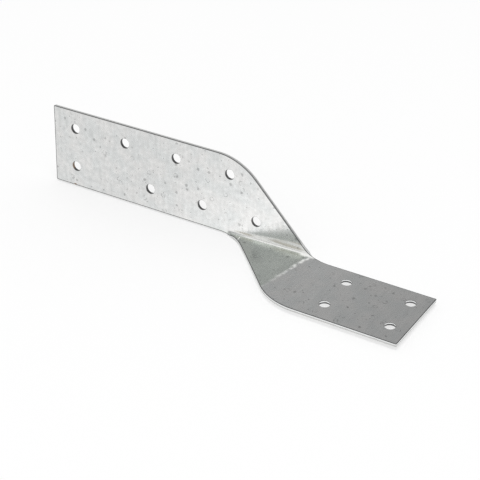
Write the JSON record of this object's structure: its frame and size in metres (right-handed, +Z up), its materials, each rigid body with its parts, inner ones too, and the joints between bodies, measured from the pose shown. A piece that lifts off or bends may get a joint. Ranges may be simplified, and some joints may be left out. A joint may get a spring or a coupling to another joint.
{
  "type": "timber connector",
  "caption": "Jogged sheet-steel strap with one lengthwise fold and nail holes, for tying two crossing timbers such as a rafter to a purlin.",
  "frame": {"origin": "centre of the bounding box's bottom, which the low end of the fold touches", "axes": "+X along the strap from the upright leg to the foot, +Y from the foot's free edge to the upright leg, +Z up"},
  "size_m": [0.21, 0.0458, 0.0409],
  "materials": {
    "galvanised_steel": "satin"
  },
  "bodies": {
    "root": {"timber_connector": "galvanised_steel"}
  },
  "joints": []
}
